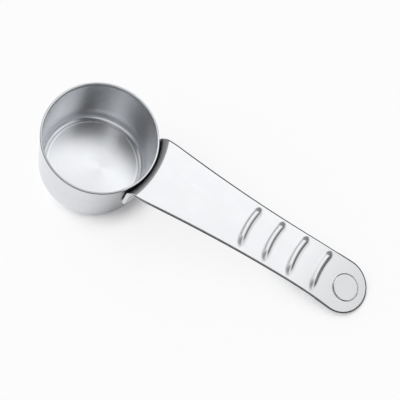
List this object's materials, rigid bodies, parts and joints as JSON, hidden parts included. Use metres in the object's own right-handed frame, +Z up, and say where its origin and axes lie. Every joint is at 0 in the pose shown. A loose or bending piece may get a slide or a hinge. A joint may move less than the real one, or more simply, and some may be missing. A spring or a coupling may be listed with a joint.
{
  "type": "coffee scoop",
  "caption": "Drawn steel cup with a long, slightly drooping flat handle; its root is turned down and welded to the cup, with pressed grip ribs and a raised disc near the round tip.",
  "frame": {"origin": "bottom centre of the bounding box, on the table that the scoop lies on when empty", "axes": "+X along the handle from the cup to the tip, level with the table; +Z up; the scoop's plane of symmetry is y = 0"},
  "size_m": [0.1264, 0.041, 0.034],
  "materials": {
    "cup_steel": "fine satin inside, brighter outside",
    "handle_steel": "fine satin, brushed lengthwise",
    "weld_steel": "dull electrode marks"
  },
  "bodies": {
    "root": {"cup": "cup_steel", "handle": "handle_steel", "spot_welds": "weld_steel"}
  },
  "joints": []
}
